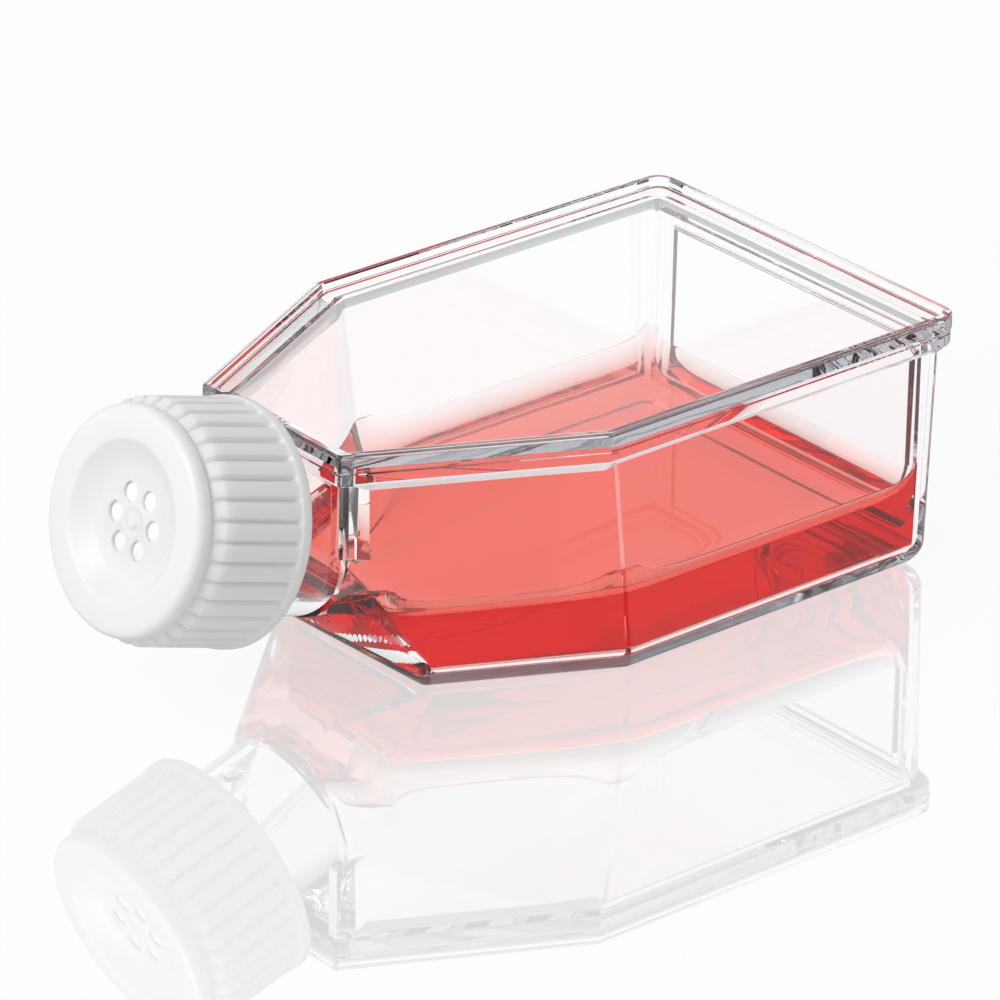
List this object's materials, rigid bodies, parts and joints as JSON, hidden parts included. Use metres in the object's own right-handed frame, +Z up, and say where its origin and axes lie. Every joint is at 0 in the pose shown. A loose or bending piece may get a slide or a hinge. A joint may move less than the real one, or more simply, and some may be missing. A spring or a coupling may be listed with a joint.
{
  "type": "cell culture flask",
  "caption": "Clear flat culture flask with canted neck, ribbed vented screw cap and red medium, lying on its growth face with a raised stacking rim on top.",
  "frame": {"origin": "middle of the whole flask's box, on the surface that the growth face lies on", "axes": "+X towards the closed back end, -X towards the cap, +Z up through the top plate, +Y across the flask"},
  "size_m": [0.1018, 0.051, 0.0372],
  "materials": {
    "clear_polystyrene": "injection moulded, optically clear, polished",
    "white_polyethylene": "moulded satin, slightly translucent",
    "filter_membrane": "matte microporous film",
    "culture_medium": "clear red liquid"
  },
  "bodies": {
    "flask": {"flask_body": "clear_polystyrene", "top_plate": "clear_polystyrene", "culture_medium": "culture_medium"},
    "filter": {"vent_membrane": "filter_membrane"},
    "cap": {"screw_cap": "white_polyethylene"}
  },
  "joints": [
    {"name": "cap_lift", "type": "slide", "parent": "flask", "child": "filter", "axis": [-0.9553, 0, 0.2957], "range_m": [0, 0.008]},
    {"name": "cap_turn", "type": "hinge", "parent": "filter", "child": "cap", "pos_m": [-0.03296, 0, 0.0209], "axis": [-0.9553, 0, 0.2957], "range_deg": [0, 720]}
  ],
  "couplings": [
    {"joint": "cap_lift", "follows": "cap_turn", "m_per_rad": 0.00063661}
  ]
}
